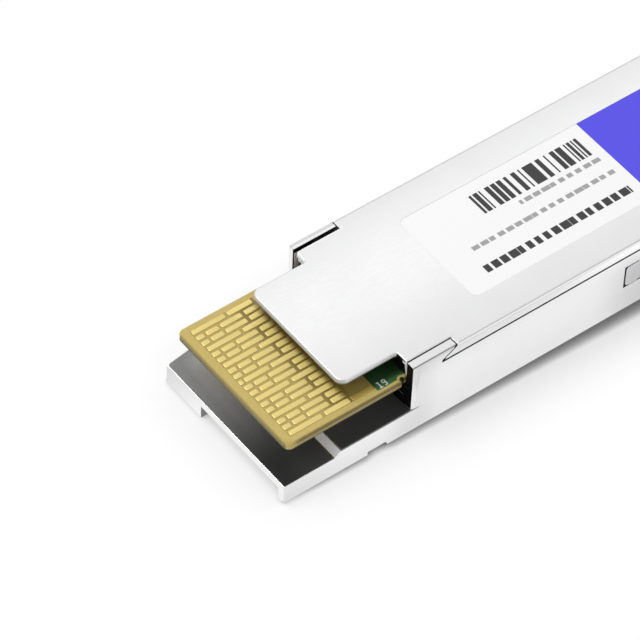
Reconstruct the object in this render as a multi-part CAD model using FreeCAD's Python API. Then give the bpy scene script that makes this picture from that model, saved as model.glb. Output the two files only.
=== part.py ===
import FreeCAD
import Part

import math
import os

# Pluggable loopback module, label side up, millimetres.
# x runs from the connector end (0 at the tip of the lower tongue) to the pull tab,
# y runs across the width from its middle, z runs up from the flat heat-sink face.

# Envelope
body_width = 18.35
body_height = 8.5
shell_length = 89.4
pull_reach = 40.0

# Lower tongue
front_level = 2.26
rear_level = 2.87
ramp_start = 5.65
ramp_run = 0.63
far_taper = 0.79
front_plate = 0.77
far_foot = 5.28
near_foot = 0.8
foot_pocket = 5.0
notch_start = 9.37
notch_length = 2.04
notch_depth = 0.5
notch_slant = 0.24

# Shoulder, side tabs and hooks
shoulder = 14.17
tab_length = 4.85
tab_wall = 0.955
tab_gap = 0.14
far_tab_relief = 0.24
hook_run = 1.6
hook_drop = 0.95
hook_gap = 0.2
nose_gap = 0.35
lead_in = 0.08
lead_in_run = 0.7
edge_round = 0.25
corner_round = 0.5
seam_width = 0.18
seam_depth = 0.4

# Upper shell
lid_edge = 1.2
lid_plate = 0.55
lid_front = 7.95
shoulder_step = 1.44
lid_corner = 0.9
shoulder_round = 0.25
lid_round = 0.12
skirt_wall = 0.35
skirt_gap = 0.1
skirt_setback = 0.2
skirt_round = 0.15
rim_wall = 0.7
rim_drop = 0.4
rim_gap = 0.12

# Tray inside the lower shell
floor = 1.6
side_wall = 1.65
vestibule = 6.0
rail_lap = 0.15
rail_step = 0.67
rail_drop = 1.4
nose_length = 23.0
cavity_round = 0.8
post_radius = 1.1
pin_radius = 0.55
pin_sink = 0.1
pin_gap = 0.1
post_inset_x = 3.0
post_inset_y = 1.7
post_root = 0.05

# Paddle board
board_setback = 1.0
board_drop = 2.16
board_thickness = 1.0
board_inset = 0.965
board_corner = 0.6
board_bevel = 0.15
board_gap = 0.2
board_neck = 0.23
board_neck_back = 0.48
board_notch = 0.18
board_notch_back = 0.3

# Contact pads: each column is a row of pads from front to rear
pad_pitch = 0.8
pad_columns = 19
pad_width = 0.55
pad_rise = 0.06
pad_margin = 0.3
ground_columns = (1, 4, 7, 13, 16, 19)
middle_column = 10
ground_rows = ((1.95, 5.55), (5.9, 8.55), (8.8, 11.1))
signal_rows = ((1.88, 2.7), (2.95, 4.3), (4.55, 6.85), (7.2, 8.87))
middle_rows = ((1.83, 2.27), (2.45, 5.15), (5.4, 8.7))

# Insulating film on the lower tongue
film_thickness = 0.05
film_inset = 0.12
film_corner = 0.25

# Label in its shallow recess
label_front = 23.85
label_length = 44.0
label_width = 11.3
label_corner = 0.8
label_thickness = 0.1
label_recess = 0.12
label_gap = 0.02

# Release bracket in the side channels
slot_front = 38.75
slot_low = 3.05
slot_height = 2.85
slot_depth = 0.75
sheet = 0.5
arm_gap = 0.12
arm_sink = 0.08
tip_gap = 0.2
tip_length = 1.5
tip_rise = 0.2
tip_slope = 0.6
tip_round = 0.4
bend_radius = 1.3
bridge_gap = 1.2

# Return springs in their pockets
travel = 2.5
spring_pressed = 4.5
pocket_inset = 4.0
pocket_inner = 6.0
pocket_edge = 0.3
lug_gap = 0.1
lug_edge = 0.25
spring_wire = 0.3
spring_radius = 0.8
spring_turns = 6
spring_facets = 8
wire_facets = 6
spring_gap = 0.04

# Pull tab
root_gap = 0.5
root_length = 6.5
root_thickness = 3.8
strap_width = 14.0
strap_thickness = 1.8
strap_run = 5.0
strap_corner = 4.0
finger_length = 20.0
finger_width = 8.0
finger_corner = 2.5
finger_rim = 3.0
strap_bevel = 0.4

# Cover screws at the rear of the lid, whose front is held by the hooks
screw_radius = 0.8
screw_head_radius = 1.5
screw_length = 6.2
screw_sink = 0.1
screw_gap = 0.1
screw_y = 3.2
screw_inset = 7.0
drive_radius = 0.55
drive_depth = 0.5
boss_radius = 1.6
boss_drop = 2.6
boss_gap = 0.1
thread_gap = 0.03

# Gasket in a groove round the parting face
gasket_width = 0.6
gasket_height = 0.4
gasket_inset = 0.6
gasket_rear = 1.3
gasket_front_gap = 0.5
gasket_gap = 0.03

# Parts on the board
package_bevel = 0.1
load_start = 10.0
load_rows = 2
load_columns = 4
load_pitch_x = 4.4
load_pitch_y = 4.6
resistor_length = 3.2
resistor_width = 4.0
resistor_height = 0.7
transistor_size = 4.6
transistor_height = 0.9
transistor_gap = 1.5
transistor_y = 3.2
pad_sheet = 0.8
pedestal_margin = 0.6
capacitor_pairs = 8
capacitor_pitch = 0.8
capacitor_length = 0.9
capacitor_width = 0.45
capacitor_height = 0.45
capacitor_back = 6.0
controller_size = 5.0
controller_height = 0.85
controller_back = 16.0
sensor_size = 1.8
sensor_height = 0.6
sensor_back = 25.0
sensor_y = 4.0
inductor_size = 3.2
inductor_height = 1.8
inductor_y = 2.8
bulk_length = 2.0
bulk_width = 1.25
bulk_height = 0.8
bulk_count = 4
bulk_pitch = 2.4
end_cap = 0.3
end_cap_rise = 0.02

# Places worked out from the sizes above
half_width = body_width / 2
parting = body_height - lid_edge
ramp_end = ramp_start + ramp_run
tab_inner = half_width - tab_wall
tab_end = shoulder + tab_length
lid_half = tab_inner - tab_gap
tongue_half = lid_half - shoulder_step
plate_under = body_height - lid_plate
vestibule_end = shoulder + vestibule
cavity_end = shell_length - nose_length
cavity_half = half_width - side_wall
board_top = body_height - board_drop
board_under = board_top - board_thickness
board_half = half_width - board_inset
neck_half = board_half - board_neck
board_rear = cavity_end - board_gap
post_places = [
    (vestibule_end + post_inset_x, cavity_half - post_inset_y),
    (cavity_end - post_inset_x, cavity_half - post_inset_y),
]
slot_high = slot_low + slot_height
slot_floor = half_width - slot_depth
arm_outer = half_width - arm_sink
arm_inner = arm_outer - sheet
arm_low = slot_low + arm_gap
arm_high = slot_high - arm_gap
arm_middle = (arm_low + arm_high) / 2
tip_front = slot_front + tip_gap
bridge_front = shell_length + bridge_gap
bridge_rear = bridge_front + sheet
pocket_front = cavity_end + pocket_inset
lug_front = pocket_front + lug_gap
lug_rear = lug_front + sheet
pocket_rear = lug_rear + spring_pressed + travel
pocket_low = slot_low + pocket_edge
pocket_high = slot_high - pocket_edge
spring_y = (pocket_inner + arm_inner) / 2
overall_length = shell_length + pull_reach
screw_place = (shell_length - screw_inset, screw_y)
load_front = vestibule_end + load_start
pedestal_top = board_under - resistor_height - pad_sheet

V = FreeCAD.Vector
OUT = 1.0
SAME = 1e-6


def block(x, y, z):
    """Box between three (low, high) pairs."""
    return Part.makeBox(x[1] - x[0], y[1] - y[0], z[1] - z[0], V(x[0], y[0], z[0]))


def side_prism(outline, y):
    """Outline of (x, z) points drawn out across the width."""
    points = [V(px, y[0], pz) for px, pz in outline]
    face = Part.Face(Part.makePolygon(points + points[:1]))
    return face.extrude(V(0, y[1] - y[0], 0))


def plan_prism(outline, z):
    """Outline of (x, y) points drawn upwards."""
    points = [V(px, py, z[0]) for px, py in outline]
    face = Part.Face(Part.makePolygon(points + points[:1]))
    return face.extrude(V(0, 0, z[1] - z[0]))


def post(place, radius, z):
    """Upright cylinder."""
    return Part.makeCylinder(radius, z[1] - z[0], V(place[0], place[1], z[0]))


def mirrored(shape):
    """The same shape on the other side of the middle plane."""
    return shape.mirror(V(0, 0, 0), V(0, 1, 0))


def both_sides(shapes):
    """Each shape and its mirror image."""
    return shapes + [mirrored(shape) for shape in shapes]


def runs_along(edge, direction):
    """True for a straight edge parallel to a direction."""
    if edge.Curve.TypeId != "Part::GeomLine":
        return False
    return edge.tangentAt(edge.FirstParameter).cross(direction).Length < SAME


def at_height(edge, z):
    """True for an edge that lies in one level plane."""
    box = edge.BoundBox
    return abs(box.ZMin - z) < SAME and abs(box.ZMax - z) < SAME


def upright_edges(shape, chosen):
    """Upright edges whose (x, y) place passes a test."""
    picked = []
    for edge in shape.Edges:
        if runs_along(edge, V(0, 0, 1)) and chosen(edge.CenterOfMass):
            picked.append(edge)
    return picked


def rounded_plate(x, half, z, radius):
    """Plate about the middle plane with four rounded corners."""
    plate = block(x, (-half, half), z)
    return plate.makeFillet(radius, upright_edges(plate, lambda place: True))


def lead_in_cut():
    """Sliver that eases a side face behind the shoulder, round in plan, on the +y side."""
    end = shoulder + lead_in_run
    radius = (lead_in_run**2 + lead_in**2) / (2 * lead_in)
    turn = math.asin(lead_in_run / radius) / 2
    start_point = V(shoulder, half_width - lead_in, rear_level)
    end_point = V(end, half_width, rear_level)
    middle_point = V(
        end - radius * math.sin(turn), half_width - radius * (1 - math.cos(turn)), rear_level
    )
    outer_end = V(end, half_width + OUT, rear_level)
    outer_start = V(shoulder - OUT, half_width + OUT, rear_level)
    inner_start = V(shoulder - OUT, half_width - lead_in, rear_level)
    edges = [
        Part.Arc(start_point, middle_point, end_point).toShape(),
        Part.makeLine(end_point, outer_end),
        Part.makeLine(outer_end, outer_start),
        Part.makeLine(outer_start, inner_start),
        Part.makeLine(inner_start, start_point),
    ]
    return Part.Face(Part.Wire(edges)).extrude(V(0, 0, body_height))


def side_tab():
    """Upright tab with a slanted hook at its rear end, on the +y side."""
    foot = parting - OUT
    outline = [
        (shoulder, foot),
        (shoulder, body_height),
        (tab_end, body_height),
        (tab_end - hook_run, body_height - hook_drop),
        (tab_end - hook_run, foot),
    ]
    tab = side_prism(outline, (tab_inner, half_width))
    top_outer = [
        edge
        for edge in tab.Edges
        if runs_along(edge, V(1, 0, 0))
        and at_height(edge, body_height)
        and edge.CenterOfMass.y > half_width - tab_wall / 2
    ]
    return tab.makeFillet(edge_round, top_outer)


def far_tab_pocket():
    """Relief that thins the far side tab from the inside, down to the board's level."""
    y = (tab_inner - OUT, tab_inner + far_tab_relief)
    return block((shoulder - OUT, tab_end), y, (board_under, body_height + OUT))


def tray_outside():
    """Lower shell before it is hollowed: tongue, ramp and body from one side profile."""
    outline = [
        (0, 0),
        (shell_length, 0),
        (shell_length, parting),
        (shoulder, parting),
        (shoulder, rear_level),
        (ramp_end, rear_level),
        (ramp_start, front_level),
        (0, front_level),
    ]
    tray = side_prism(outline, (-half_width, half_width))
    rear_corners = upright_edges(tray, lambda place: place.x > shell_length - OUT)
    tray = tray.makeFillet(corner_round, rear_corners)
    taper = [
        (-OUT, half_width + OUT),
        (-OUT, half_width - far_taper * (1 + OUT / ramp_start)),
        (ramp_start, half_width),
        (ramp_start, half_width + OUT),
    ]
    tray = tray.cut(plan_prism(taper, (-OUT, rear_level)))
    bottom = [
        edge
        for edge in tray.Edges
        if at_height(edge, 0) and edge.BoundBox.YMin * edge.BoundBox.YMax > 0
    ]
    tray = tray.makeChamfer(edge_round, bottom)
    return tray.fuse(both_sides([side_tab()])).removeSplitter()


def tray_cavity():
    """Space inside the tray: a vestibule with board rails, then the main cavity."""
    rail = neck_half - rail_lap
    lower = rail - rail_step
    x = (shoulder - OUT, vestibule_end)
    top = body_height + OUT
    parts = [
        block(x, (-lower, lower), (rear_level, top)),
        block(x, (-rail, rail), (board_under - rail_drop, top)),
        block(x, (-tab_inner, tab_inner), (board_under, top)),
    ]
    vestibule_space = parts[0].fuse(parts[1:])
    main = rounded_plate(
        (vestibule_end - cavity_round, cavity_end), cavity_half, (floor, top), cavity_round
    )
    step = block((vestibule_end - OUT, vestibule_end), (-half_width, half_width), (floor, rear_level))
    return vestibule_space.fuse(main.cut(step))


def screw_hole():
    """Countersunk clearance hole with a counterbore for the lid's boss above it."""
    head = Part.makeCone(
        screw_head_radius + screw_gap,
        screw_radius + screw_gap,
        screw_head_radius - screw_radius,
        V(screw_place[0], screw_place[1], screw_sink),
    )
    mouth = post(screw_place, screw_head_radius + screw_gap, (-OUT, screw_sink))
    shaft = post(screw_place, screw_radius + screw_gap, (0, body_height))
    seat = post(screw_place, boss_radius + boss_gap, (parting - boss_drop - boss_gap, body_height))
    return head.fuse([mouth, shaft, seat])


def seam_groove():
    """Fine groove along the parting line, on the +y side."""
    return block(
        (tab_end - hook_run, shell_length + OUT),
        (half_width - seam_depth, half_width + OUT),
        (parting - seam_width / 2, parting + seam_width / 2),
    )


def gasket_ring(gap, z):
    """U-shaped strip along both sides and across the rear."""
    outer = half_width - gasket_inset + gap
    inner = half_width - gasket_inset - gasket_width - gap
    front = vestibule_end + gasket_front_gap - gap
    rear = shell_length - gasket_rear + gap
    strip = block((front, rear), (-outer, outer), z)
    return strip.cut(block((front - OUT, rear - gasket_width - 2 * gap), (-inner, inner), z))


def lower_shell():
    """Die-cast tray with the heat-sink face, tongue, side channels and spring pockets."""
    tray = tray_outside()
    notch = [
        (notch_start, -OUT),
        (notch_start, notch_depth),
        (notch_start + notch_length, notch_depth),
        (notch_start + notch_length + notch_slant * (1 + OUT / notch_depth), -OUT),
    ]
    cuts = [
        tray_cavity(),
        block(
            (-OUT, foot_pocket),
            (near_foot - half_width, half_width - far_taper - far_foot),
            (-OUT, front_level - front_plate),
        ),
        side_prism(notch, (-half_width - OUT, half_width + OUT)),
        gasket_ring(gasket_gap, (parting - gasket_height, body_height)),
        far_tab_pocket(),
    ]
    channel = block(
        (slot_front, shell_length + OUT), (slot_floor, half_width + OUT), (slot_low, slot_high)
    )
    pocket = block(
        (pocket_front, pocket_rear), (pocket_inner, half_width), (pocket_low, pocket_high)
    )
    side_cuts = [channel, pocket, lead_in_cut(), seam_groove(), screw_hole()]
    tray = tray.cut(cuts + both_sides(side_cuts))
    posts = []
    for place in post_places:
        posts.append(post(place, post_radius, (floor - post_root, board_under)))
        posts.append(post(place, pin_radius, (board_under - post_root, board_top - pin_sink)))
    pedestal = rounded_plate(
        (load_front - pedestal_margin, load_front + load_length() + pedestal_margin),
        load_half() + pedestal_margin,
        (floor - post_root, pedestal_top),
        cavity_round,
    )
    return tray.fuse(both_sides(posts) + [pedestal]).removeSplitter()


def lid_front_outline(z):
    """T-shaped outline of the lid's front, the tongue and the shoulder between the side tabs."""
    outline = [
        (lid_front, -tongue_half),
        (shoulder, -tongue_half),
        (shoulder, -lid_half),
        (vestibule_end, -lid_half),
        (vestibule_end, lid_half),
        (shoulder, lid_half),
        (shoulder, tongue_half),
        (lid_front, tongue_half),
    ]
    plate = plan_prism(outline, z)
    front = upright_edges(plate, lambda place: place.x < lid_front + lid_corner)
    plate = plate.makeFillet(lid_corner, front)
    steps = upright_edges(plate, lambda place: abs(place.x - shoulder) < SAME)
    return plate.makeFillet(shoulder_round, steps)


def lid_front_plate():
    """Front of the lid with its upper edge rounded."""
    plate = lid_front_outline((plate_under, body_height))
    top = [
        edge
        for edge in plate.Edges
        if at_height(edge, body_height) and edge.CenterOfMass.x < vestibule_end - SAME
    ]
    return plate.makeFillet(lid_round, top)


def hook_nose():
    """Side edge of the lid whose front end reaches under the tray's hook, on the +y side."""
    tip = tab_end - hook_run + nose_gap
    slope = hook_drop / hook_run
    tip_top = body_height - hook_drop + (tip - hook_gap - tab_end + hook_run) * slope
    outline = [
        (tip, parting),
        (tip, tip_top),
        (tab_end + hook_gap, body_height),
        (vestibule_end, body_height),
        (vestibule_end, parting),
    ]
    nose = side_prism(outline, (lid_half - skirt_wall, half_width))
    edges = [
        edge
        for edge in nose.Edges
        if runs_along(edge, V(1, 0, 0))
        and at_height(edge, body_height)
        and edge.CenterOfMass.y > lid_half
    ]
    return nose.makeFillet(edge_round, edges)


def lid_body():
    """Main slab of the lid with rounded long edges."""
    slab = block((vestibule_end, shell_length), (-half_width, half_width), (parting, body_height))
    slab = slab.makeFillet(corner_round, upright_edges(slab, lambda place: place.x > cavity_end))
    top = [
        edge
        for edge in slab.Edges
        if at_height(edge, body_height) and edge.CenterOfMass.x > vestibule_end + SAME
    ]
    return slab.makeFillet(edge_round, top)


def lid_skirt():
    """Thin wall under the lid's shoulder, across the front and along both sides, to just above the board."""
    z = (board_top + skirt_gap, plate_under)
    front = shoulder + skirt_setback
    outer = block((front, vestibule_end - rim_gap), (-lid_half, lid_half), z)
    outer = outer.makeFillet(skirt_round, upright_edges(outer, lambda place: place.x < front + SAME))
    inner_half = lid_half - skirt_wall
    return outer.cut(block((front + skirt_wall, vestibule_end), (-inner_half, inner_half), z))


def upper_shell():
    """Die-cast lid: tongue, hook noses, skirts, locating rim, clamp posts and screw bosses."""
    sides = [hook_nose()]
    rim = block(
        (vestibule_end + rim_gap, cavity_end - cavity_round),
        (cavity_half - rim_gap - rim_wall, cavity_half - rim_gap),
        (parting - rim_drop, parting),
    )
    sides.append(rim)
    for place in post_places:
        sides.append(post(place, post_radius, (board_top, parting)))
    sides.append(post(screw_place, boss_radius, (parting - boss_drop, parting)))
    lid = lid_body().fuse([lid_front_plate(), lid_skirt()] + both_sides(sides))
    recess = rounded_plate(
        (label_front - label_gap, label_front + label_length + label_gap),
        label_width / 2 + label_gap,
        (body_height - label_recess, body_height + OUT),
        label_corner,
    )
    thread = post(screw_place, screw_radius + thread_gap, (0, parting))
    return lid.cut([recess] + both_sides([seam_groove(), thread])).removeSplitter()


def paddle_board():
    """Circuit board: wide paddle with the card edge, neck between the side tabs, tail inside the tray."""
    neck = shoulder - board_neck_back
    wide_end = vestibule_end - board_gap
    tail_half = cavity_half - board_gap
    outline = [
        (board_setback, -board_half),
        (neck, -board_half),
        (neck, -neck_half),
        (wide_end, -neck_half),
        (wide_end, -tail_half),
        (board_rear, -tail_half),
        (board_rear, tail_half),
        (wide_end, tail_half),
        (wide_end, neck_half),
        (neck, neck_half),
        (neck, board_half),
        (board_setback, board_half),
    ]
    board = plan_prism(outline, (board_under, board_top))
    corners = upright_edges(board, lambda place: place.x < board_setback + board_corner)
    board = board.makeFillet(board_corner, corners)
    corners = upright_edges(board, lambda place: place.x > board_rear - cavity_round)
    board = board.makeFillet(cavity_round, corners)
    rims = [
        edge
        for edge in board.Edges
        if (at_height(edge, board_top) or at_height(edge, board_under))
        and edge.CenterOfMass.x < wide_end - SAME
    ]
    board = board.makeChamfer(board_bevel, rims)
    through = (board_under - OUT, board_top + OUT)
    cuts = [post((shoulder - board_notch_back, neck_half), board_notch, through)]
    for place in post_places:
        cuts.append(post(place, pin_radius + pin_gap, through))
    return board.cut(both_sides(cuts)).removeSplitter()


def pad_rows(column):
    """Front and rear ends of the pads in one column."""
    if column == middle_column:
        return middle_rows
    if column in ground_columns:
        return ground_rows
    return signal_rows


def contact_pads(z):
    """All plated pads on one face of the board."""
    pads = []
    for column in range(1, pad_columns + 1):
        y = ((pad_columns + 1) / 2 - column) * pad_pitch
        if abs(y) + pad_width / 2 > board_half - pad_margin:
            continue
        for start, end in pad_rows(column):
            pads.append(block((start, end), (y - pad_width / 2, y + pad_width / 2), z))
    return Part.makeCompound(pads)


def front_film():
    """Thin film on the front level of the tongue, following the tapered far side."""
    rear = ramp_start - film_inset
    near = film_inset - half_width
    outline = [
        (film_inset, near),
        (rear, near),
        (rear, half_width - far_taper * film_inset / ramp_start - film_inset),
        (film_inset, half_width - far_taper * (1 - film_inset / ramp_start) - film_inset),
    ]
    film = plan_prism(outline, (front_level, front_level + film_thickness))
    return film.makeFillet(film_corner, upright_edges(film, lambda place: True))


def rear_film():
    """Thin film on the rear level of the tongue, up to the shoulder."""
    return rounded_plate(
        (ramp_end + film_inset, shoulder - film_inset),
        half_width - film_inset,
        (rear_level, rear_level + film_thickness),
        film_corner,
    )


def label():
    """Paper label lying just below the lid's face."""
    bottom = body_height - label_recess
    return rounded_plate(
        (label_front, label_front + label_length),
        label_width / 2,
        (bottom, bottom + label_thickness),
        label_corner,
    )


def release_bracket():
    """Folded steel strip: two arms in the side channels, joined behind the rear face."""
    outer = block((tip_front, bridge_rear), (-arm_outer, arm_outer), (arm_low, arm_high))
    outer = outer.makeFillet(
        bend_radius, upright_edges(outer, lambda place: place.x > bridge_front)
    )
    inner = block((tip_front - OUT, bridge_front), (-arm_inner, arm_inner), (arm_low, arm_high))
    inner = inner.makeFillet(
        bend_radius - sheet, upright_edges(inner, lambda place: place.x > shell_length)
    )
    strip = outer.cut(inner)
    tip_end = tip_front + tip_length
    raised = block((tip_front, tip_end), (arm_outer - sheet / 2, half_width), (arm_low, arm_high))
    lug = block(
        (lug_front, lug_rear),
        (pocket_inner + lug_edge, arm_outer - sheet / 2),
        (pocket_low + lug_edge, pocket_high - lug_edge),
    )
    strip = strip.fuse(both_sides([raised, lug]))
    outline = [
        (tip_front, arm_low + tip_rise),
        (tip_front + tip_slope, arm_low),
        (bridge_rear, arm_low),
        (bridge_rear, arm_high),
        (tip_front, arm_high),
    ]
    trim = side_prism(outline, (-half_width, half_width))
    lower_corner = [
        edge
        for edge in trim.Edges
        if runs_along(edge, V(0, 1, 0))
        and edge.CenterOfMass.x < tip_front + tip_rise
    ]
    trim = trim.makeFillet(tip_round, lower_corner)
    return strip.common(trim).removeSplitter()


def wire_section(angle, x):
    """Outline of the spring wire at one angle of its coil, in the plane through the coil's axis."""
    outward = V(0, math.cos(angle), math.sin(angle))
    centre = V(x, spring_y, arm_middle) + outward * spring_radius
    corners = []
    for facet in range(wire_facets + 1):
        turn = 2 * math.pi * facet / wire_facets
        corners.append(centre + (outward * math.cos(turn) + V(math.sin(turn), 0, 0)) * (spring_wire / 2))
    return Part.makePolygon(corners)


def return_spring():
    """Coil spring between the lug and the rear end of its pocket, on the +y side, in straight facets."""
    start = lug_rear + spring_gap + spring_wire / 2
    rise = pocket_rear - lug_rear - spring_wire - 2 * spring_gap
    steps = spring_turns * spring_facets
    sections = []
    for step in range(steps + 1):
        sections.append(wire_section(2 * math.pi * step / spring_facets, start + rise * step / steps))
    return Part.makeLoft(sections, True, True)


def finger_strap(start):
    """Flat strap with bevelled edges and a finger hole near its end."""
    level = (arm_middle - strap_thickness / 2, arm_middle + strap_thickness / 2)
    strap = block((start, overall_length), (-strap_width / 2, strap_width / 2), level)
    ends = upright_edges(strap, lambda place: place.x > overall_length - OUT)
    strap = strap.makeFillet(strap_corner, ends)
    finger_end = overall_length - finger_rim
    hole = rounded_plate(
        (finger_end - finger_length, finger_end), finger_width / 2, level, finger_corner
    )
    strap = strap.cut(hole)
    rims = [
        edge
        for edge in strap.Edges
        if (at_height(edge, level[0]) or at_height(edge, level[1]))
        and edge.CenterOfMass.x > start + SAME
    ]
    return strap.makeChamfer(strap_bevel, rims)


def is_root_edge(edge, front):
    """True for the upright and level edges of the pull tab's front face."""
    box = edge.BoundBox
    return abs(box.XMin - front) < SAME and abs(box.XMax - front) < SAME


def pull_tab():
    """Moulded pull tab: a block round the bracket's bridge that thins down to the strap."""
    front = shell_length + root_gap
    root_end = front + root_length
    strap_start = root_end + strap_run
    root = root_thickness / 2
    strap = strap_thickness / 2
    outline = [
        (front, arm_middle - root),
        (root_end, arm_middle - root),
        (strap_start, arm_middle - strap),
        (strap_start, arm_middle + strap),
        (root_end, arm_middle + root),
        (front, arm_middle + root),
    ]
    body = side_prism(outline, (-strap_width / 2, strap_width / 2))
    body = body.makeChamfer(strap_bevel, [edge for edge in body.Edges if is_root_edge(edge, front)])
    tab = body.fuse(finger_strap(strap_start)).removeSplitter()
    bridge = block((bridge_front, bridge_rear), (-half_width, half_width), (arm_low, arm_high))
    return tab.cut(bridge)


def cover_screws():
    """The two countersunk screws that hold the rear of the lid, driven from the heat-sink face."""
    head = screw_head_radius - screw_radius
    profile = [
        V(0, 0, 0),
        V(screw_head_radius, 0, 0),
        V(screw_radius, 0, head),
        V(screw_radius, 0, screw_length),
        V(0, 0, screw_length),
        V(0, 0, 0),
    ]
    screw = Part.Face(Part.makePolygon(profile)).revolve(V(0, 0, 0), V(0, 0, 1), 360)
    corners = [V(drive_radius, 0, 0)]
    for turn in range(1, 7):
        angle = turn * math.pi / 3
        corners.append(V(drive_radius * math.cos(angle), drive_radius * math.sin(angle), 0))
    drive = Part.Face(Part.makePolygon(corners)).extrude(V(0, 0, drive_depth))
    screw = screw.cut(drive)
    screw.translate(V(screw_place[0], screw_place[1], screw_sink))
    return Part.makeCompound(both_sides([screw]))


def load_length():
    """Length of the field of load resistors."""
    return (load_columns - 1) * load_pitch_x + resistor_length


def load_half():
    """Half width of the field of load resistors."""
    return (load_rows - 1) * load_pitch_y / 2 + resistor_width / 2


def chip_part(x, y, z, length, width, height, upwards):
    """Ceramic chip with a metal cap at each end, its long side along x."""
    low = z if upwards else z - height
    body = block(
        (x + end_cap / 2, x + length - end_cap / 2),
        (y - width / 2 + end_cap_rise, y + width / 2 - end_cap_rise),
        (low + end_cap_rise, low + height - end_cap_rise),
    )
    side = (y - width / 2, y + width / 2)
    caps = [
        block((x, x + end_cap), side, (low, low + height)),
        block((x + length - end_cap, x + length), side, (low, low + height)),
    ]
    return body.fuse(caps).removeSplitter()


def load_resistors():
    """Field of heating resistors under the board, above the thermal pad."""
    chips = []
    for row in range(load_rows):
        y = (row - (load_rows - 1) / 2) * load_pitch_y
        for column in range(load_columns):
            x = load_front + column * load_pitch_x
            chips.append(
                chip_part(x, y, board_under, resistor_length, resistor_width, resistor_height, False)
            )
    return Part.makeCompound(chips)


def package(x, y, z, size, height, upwards):
    """Moulded package with bevelled upper edges, centred on y."""
    low = z if upwards else z - height
    body = block((x, x + size), (y - size / 2, y + size / 2), (low, low + height))
    face = low + height if upwards else low
    return body.makeChamfer(package_bevel, [edge for edge in body.Edges if at_height(edge, face)])


def transistor_front():
    """Front face of the power packages."""
    return load_front + load_length() + pedestal_margin + transistor_gap


def load_transistors():
    """Two power packages behind the load resistors, under the board."""
    x = transistor_front()
    pair = [package(x, transistor_y, board_under, transistor_size, transistor_height, False)]
    return Part.makeCompound(both_sides(pair))


def thermal_pad():
    """Soft pad between the pedestal in the tray and the load resistors."""
    return rounded_plate(
        (load_front, load_front + load_length()),
        load_half(),
        (pedestal_top, pedestal_top + pad_sheet),
        cavity_round,
    )


def coupling_capacitors():
    """Two capacitors for each looped lane, in a row across the board."""
    chips = []
    for pair in range(capacitor_pairs):
        y = (pair + 0.5) * capacitor_pitch
        x = vestibule_end + capacitor_back
        chips.append(
            chip_part(x, y, board_top, capacitor_length, capacitor_width, capacitor_height, True)
        )
    return Part.makeCompound(both_sides(chips))


def controller_chip():
    """Controller on the label side of the board."""
    x = vestibule_end + controller_back
    return package(x, 0, board_top, controller_size, controller_height, True)


def temperature_sensors():
    """Two small sensors on the label side of the board."""
    x = vestibule_end + sensor_back
    pair = [package(x, sensor_y, board_top, sensor_size, sensor_height, True)]
    return Part.makeCompound(both_sides(pair))


def filter_inductors():
    """Two supply inductors midway between the power packages and the board's rear, underneath."""
    x = (transistor_front() + transistor_size + board_rear - inductor_size) / 2
    pair = [package(x, inductor_y, board_under, inductor_size, inductor_height, False)]
    return Part.makeCompound(both_sides(pair))


def supply_capacitors():
    """Row of larger capacitors midway between the sensors and the board's rear, on the label side."""
    chips = []
    x = (vestibule_end + sensor_back + sensor_size + board_rear - bulk_length) / 2
    for index in range(bulk_count):
        y = (index - (bulk_count - 1) / 2) * bulk_pitch
        chips.append(chip_part(x, y, board_top, bulk_length, bulk_width, bulk_height, True))
    return Part.makeCompound(chips)


def emi_gasket():
    """Conductive strip in the groove between the two shells."""
    return gasket_ring(0, (parting - gasket_height, parting))


def export(name, shape):
    """Write one piece, with the origin under the middle of the whole module."""
    placed = shape.copy()
    placed.translate(V(-overall_length / 2, 0, 0))
    placed.exportStep("parts/" + name + ".step")


os.makedirs("parts", exist_ok=True)
export("lower_shell", lower_shell())
export("upper_shell", upper_shell())
export("paddle_board", paddle_board())
export("upper_contact_pads", contact_pads((board_top, board_top + pad_rise)))
export("lower_contact_pads", contact_pads((board_under - pad_rise, board_under)))
export("front_insulating_film", front_film())
export("rear_insulating_film", rear_film())
export("label", label())
export("release_bracket", release_bracket())
export("pull_tab", pull_tab())
export("return_spring_left", return_spring())
export("return_spring_right", mirrored(return_spring()))
export("cover_screws", cover_screws())
export("emi_gasket", emi_gasket())
export("coupling_capacitors", coupling_capacitors())
export("load_resistors", load_resistors())
export("load_transistors", load_transistors())
export("thermal_pad", thermal_pad())
export("controller_chip", controller_chip())
export("temperature_sensors", temperature_sensors())
export("filter_inductors", filter_inductors())
export("supply_capacitors", supply_capacitors())
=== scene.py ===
import math

import bpy
import numpy as np
from mathutils import Matrix, Vector


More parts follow.
